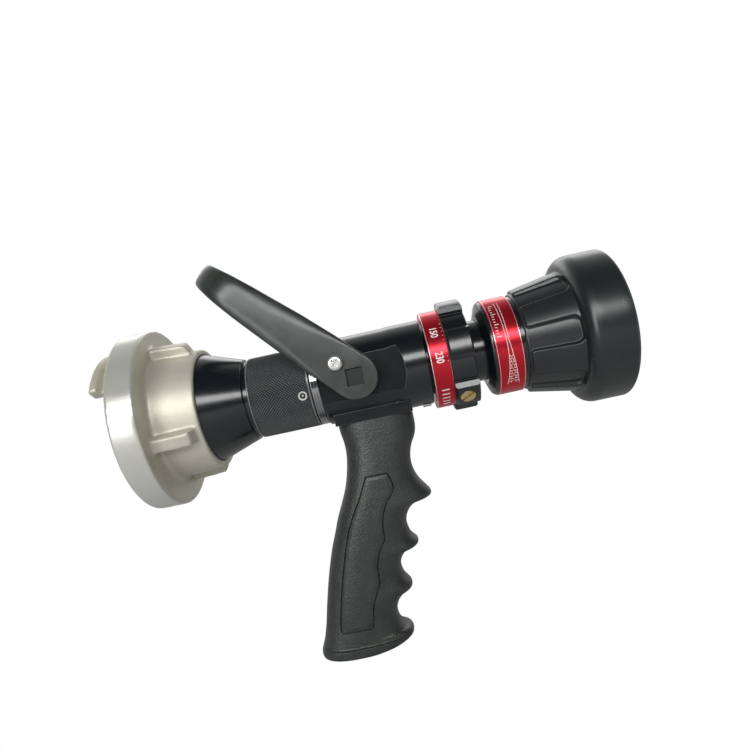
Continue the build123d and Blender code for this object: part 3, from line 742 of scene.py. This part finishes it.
ring = nodes["lug_ring"].copy()
ring.data = nodes["lug_ring"].data.copy()
ring.name = "cast_lug_ring"
ring.parent = None
for key in list(ring.keys()):      # the copy is a new piece, without the node's own labels
    del ring[key]
bpy.context.scene.collection.objects.link(ring)
mend(ring.data, weld=1e-7)
remesh = ring.modifiers.new("remesh", "REMESH")
remesh.mode = "VOXEL"
remesh.voxel_size = 0.75 * MM       # rounds the edges as casting and blasting do
soften = ring.modifiers.new("soften", "SMOOTH")
soften.factor = 0.5
soften.iterations = 5
bake_modifiers(ring)
settle(ring, materials["cast_alloy"], "lug_ring", ["lug_ring"], sharp=75)


# ---------------------------------------------------------------- dial marks

PRINT_RISE, PRINT_SINK = 0.035, 0.05   # how far printed marks stand out of the ring and reach into it
PRINT_STEP = 0.5       # between the cuts that let a drawing bend round the ring


def wrap_flat(drawing, x0, angle0, radius):
    """Turns a flat drawing (round, along in mm) into a thin closed skin on a cylinder."""
    bm = bmesh.new()
    bm.from_mesh(drawing)
    co = [v.co.x for v in bm.verts]
    low, high = min(co), max(co)
    place = low + PRINT_STEP
    while place < high:
        geometry = bm.verts[:] + bm.edges[:] + bm.faces[:]
        bmesh.ops.bisect_plane(bm, geom=geometry, plane_co=(place, 0, 0), plane_no=(1, 0, 0))
        place += PRINT_STEP
    bmesh.ops.triangulate(bm, faces=bm.faces)
    top = [v.co.copy() for v in bm.verts]
    triangles = [tuple(v.index for v in f.verts) for f in bm.faces]
    border = [tuple(v.index for v in e.verts) for e in bm.edges if len(e.link_faces) == 1]
    bm.free()

    def lay(p, r):
        return around(x0 + p.y, r, angle0 - degrees(p.x / radius))

    count = len(top)
    verts = [lay(p, radius + PRINT_RISE) for p in top] + [lay(p, radius - PRINT_SINK) for p in top]
    faces = triangles + [tuple(i + count for i in t)[::-1] for t in triangles]
    faces += [(a, b, b + count, a + count) for a, b in border]
    return verts, faces


def flat_strokes(strokes):
    """A flat mesh of straight strokes, each ((round, along), (round, along), width)."""
    bm = bmesh.new()
    for (ax, ay), (bx, by), width in strokes:
        length = hypot(bx - ax, by - ay)
        nx, ny = -(by - ay) / length * width / 2, (bx - ax) / length * width / 2
        corners = [(ax + nx, ay + ny), (bx + nx, by + ny), (bx - nx, by - ny), (ax - nx, ay - ny)]
        bm.faces.new([bm.verts.new((x, y, 0)) for x, y in corners][::-1])
    mesh = bpy.data.meshes.new("strokes")
    bm.to_mesh(mesh)
    bm.free()
    return mesh


def flat_number(text, width, height):
    """A flat mesh of digits, width x height mm, centred."""
    curve = bpy.data.curves.new("digits", "FONT")
    curve.body = text
    curve.offset = 0.018       # thickens the digits
    curve.resolution_u = 6
    obj = bpy.data.objects.new("digits", curve)
    bpy.context.scene.collection.objects.link(obj)
    graph = bpy.context.evaluated_depsgraph_get()
    mesh = bpy.data.meshes.new_from_object(obj.evaluated_get(graph))
    bpy.data.objects.remove(obj)
    co = np.array([v.co[:] for v in mesh.vertices])
    low, high = co.min(0), co.max(0)
    for v in mesh.vertices:
        v.co.x = ((v.co.x - low[0]) / (high[0] - low[0]) - 0.5) * width
        v.co.y = ((v.co.y - low[1]) / (high[1] - low[1]) - 0.5) * height
    return mesh


def print_on(name, mesh, x, angle, radius, body):
    """A flat drawing as printed marks, centred on (x, angle) of a ring of the body."""
    verts, faces = wrap_flat(mesh, x, angle, radius)
    piece(name, verts, faces, ink, body, sharp=30)


SCALE_RADIUS, BAND_RADIUS = 26.7, 26.5     # of the flow scale ring and of the pattern ring


def at(x, angle, x0, angle0, radius):
    """Place of a point of a cylinder in a flat drawing centred on (x0, angle0)."""
    return radians(angle0 - angle) * radius, x - x0


def strokes_on(name, lines, x0, angle0, radius, body):
    """Prints strokes given as ((x, angle), (x, angle), width in mm)."""
    flat = [(at(*a, x0, angle0, radius), at(*b, x0, angle0, radius), width) for a, b, width in lines]
    print_on(name, flat_strokes(flat), x0, angle0, radius, body)


print_on("scale_mark_150", flat_number("150", 5.6, 3.9), 164.6, 30.2, SCALE_RADIUS, "flow_selector")
print_on("scale_mark_230", flat_number("230", 5.9, 4.1), 164.7, 0.6, SCALE_RADIUS, "flow_selector")
bars = [((162.7, a), (166.7, a), 0.75) for a in (-39.0, -45.5, -52.0, -58.5, -65.0)]
strokes_on("scale_mark_bars", bars, 164.7, -52.0, SCALE_RADIUS, "flow_selector")
dots = [((168.45, a), (168.8, a), 0.32) for a in (41.0, 35.6, 30.2, 24.8, 19.4, 6.0, 0.6, -4.8)]
strokes_on("scale_dots", dots, 164.7, 15.0, SCALE_RADIUS, "flow_selector")

# the spray symbol: two lines that open out, as (angle, x), and broken rungs between them
JET_STROKE, RUNG_STROKE, RUNG_STEP = 0.26, 0.30, 3.7
JET_LEFT = [(58.0, 199.1), (26.0, 199.5), (3.0, 199.7), (-13.0, 199.5), (-30.0, 198.9), (-52.0, 197.6)]
JET_RIGHT = [(58.0, 200.9), (26.0, 200.9), (3.0, 200.9), (-13.0, 201.7), (-30.0, 202.6), (-52.0, 203.6)]
jets = []
for side in (JET_LEFT, JET_RIGHT):
    for (a0, x_start), (a1, x_end) in zip(side[:-1], side[1:]):
        jets.append(((x_start, a0), (x_end, a1), JET_STROKE))
LEFT_AT, RIGHT_AT = sorted(JET_LEFT), sorted(JET_RIGHT)
rungs = [-14.0 - RUNG_STEP * k for k in range(11)]
for k, angle in enumerate(rungs[:-1]):
    left, right = along(LEFT_AT, angle), along(RIGHT_AT, angle)
    width = right - left
    jets.append(((left + 0.15, angle), (left + 0.42 * width, angle), RUNG_STROKE))
    jets.append(((left + 0.58 * width, angle), (right - 0.15, angle), RUNG_STROKE))
    half = (angle + rungs[k + 1]) / 2
    shares = (0.28, 0.72) if k % 2 else (0.5,)
    for share in shares:
        x = left + share * width
        jets.append(((x, angle - 0.9), (x, half - 0.9), JET_STROKE))
strokes_on("jet_symbol", jets, 200.0, 0.0, BAND_RADIUS, "pattern_sleeve")
tick_angles = [52.0 - 3.55 * k for k in range(13)]
ticks = [((195.5, a), (196.7 if k % 4 else 197.9, a), 0.42) for k, a in enumerate(tick_angles)]
strokes_on("pattern_ticks", ticks, 196.5, 30.0, BAND_RADIUS, "pattern_sleeve")


# ---------------------------------------------------------------- carried-over CAD nodes

plug_axis = Vector(around(0.0, 1.0, plug_angle)).normalized()
special = {"near_stem": black_oxide, "far_stem": black_oxide, "inlet_adapter": dark_nickel,
           "race_plug": steel_with_painted_socket_shade("socket_head_steel_painted_shade", plug_middle, plug_axis)}
for name, node in nodes.items():
    node.data.materials.clear()
    node.data.materials.append(special.get(name, materials[slot_of[name]]))


# ---------------------------------------------------------------- studio

def area_light(name, place, target, size, power):
    """A rectangular lamp of size metres, aimed at a target."""
    data = bpy.data.lights.new(name, "AREA")
    data.shape = "RECTANGLE"
    data.size, data.size_y = size
    data.energy = power
    obj = bpy.data.objects.new(name, data)
    obj.location = place
    obj.rotation_euler = (Vector(target) - Vector(place)).to_track_quat("-Z", "Y").to_euler()
    bpy.context.scene.collection.objects.link(obj)


def white_stage():
    """A white floor that stays white to the camera, and lights from below only softly."""
    low = cad_box[0].z
    sides = 96
    turns = [2 * pi * i / sides for i in range(sides)]
    ring_verts = [(2.0 * cos(t) + 0.12, 2.0 * sin(t), low - 0.4 * MM) for t in turns]
    floor = loose_mesh("floor", ring_verts, [tuple(range(sides))])
    s = Shader("studio_floor")
    path = s.add("ShaderNodeLightPath").outputs["Is Camera Ray"]
    seen = s.add("ShaderNodeEmission", {"Color": (1, 1, 1, 1), "Strength": 1.0}).outputs["Emission"]
    tint = s.mix(s.spread(s.noise(3.0), 0.0, 1.0), (0.52, 0.52, 0.52, 1), (0.56, 0.56, 0.56, 1))
    s.into(Base_Color=tint, Roughness=0.7)
    blend = s.add("ShaderNodeMixShader", {0: path, 1: s.surface.outputs[0], 2: seen})
    output = s.tree.nodes["Material Output"]
    s.tree.links.new(blend.outputs[0], output.inputs["Surface"])
    floor.data.materials.append(s.material)


def world_light():
    """White to the camera; to the object brighter behind and above than in front."""
    world = bpy.data.worlds.new("studio")
    bpy.context.scene.world = world
    world.use_nodes = True
    tree = world.node_tree
    tree.nodes.clear()
    add = tree.nodes.new
    link = tree.links.new
    place, split = add("ShaderNodeTexCoord"), add("ShaderNodeSeparateXYZ")
    link(place.outputs["Generated"], split.inputs[0])
    back = add("ShaderNodeMapRange")
    back.interpolation_type = "SMOOTHSTEP"
    for key, value in (("From Min", -0.15), ("From Max", 0.65), ("To Min", 0.06), ("To Max", 0.85)):
        back.inputs[key].default_value = value
    link(split.outputs["Y"], back.inputs["Value"])
    seen, lit = add("ShaderNodeBackground"), add("ShaderNodeBackground")
    seen.inputs["Color"].default_value = (1, 1, 1, 1)
    link(back.outputs["Result"], lit.inputs["Strength"])
    path, blend = add("ShaderNodeLightPath"), add("ShaderNodeMixShader")
    output = add("ShaderNodeOutputWorld")
    link(path.outputs["Is Camera Ray"], blend.inputs[0])
    link(lit.outputs[0], blend.inputs[1])
    link(seen.outputs[0], blend.inputs[2])
    link(blend.outputs[0], output.inputs["Surface"])


white_stage()
world_light()
area_light("key_strip", (0.05, -1.12, 0.42), (0.13, 0, 0), (1.5, 0.30), 11)
area_light("left_box", (-0.50, -0.88, 0.08), (0.02, 0, 0), (0.34, 0.46), 2.6)
area_light("top_box", (0.15, 0.95, 0.75), (0.13, 0, 0), (1.6, 0.5), 4)

# the photograph's view: from in front of the grip and almost level, with the nozzle tilted in the frame
CAMERA_PLACE = Vector((138.2, -317.7, -3.1))
YAW, PITCH, ROLL = 1.510, 0.327, -12.202       # degrees: to the left, up, and about the line of sight
camera_data = bpy.data.cameras.new("camera")
camera_data.lens = 27.36
camera_data.sensor_width = 36.0
camera_data.clip_start = 0.01
camera = bpy.data.objects.new("camera", camera_data)
camera.matrix_world = (
    Matrix.Translation(CAMERA_PLACE * MM)
    @ Matrix.Rotation(radians(YAW), 4, "Z")
    @ Matrix.Rotation(radians(90 + PITCH), 4, "X")
    @ Matrix.Rotation(radians(ROLL), 4, "Z")
)
bpy.context.scene.collection.objects.link(camera)
bpy.context.scene.camera = camera
bpy.context.scene.view_settings.view_transform = "Standard"
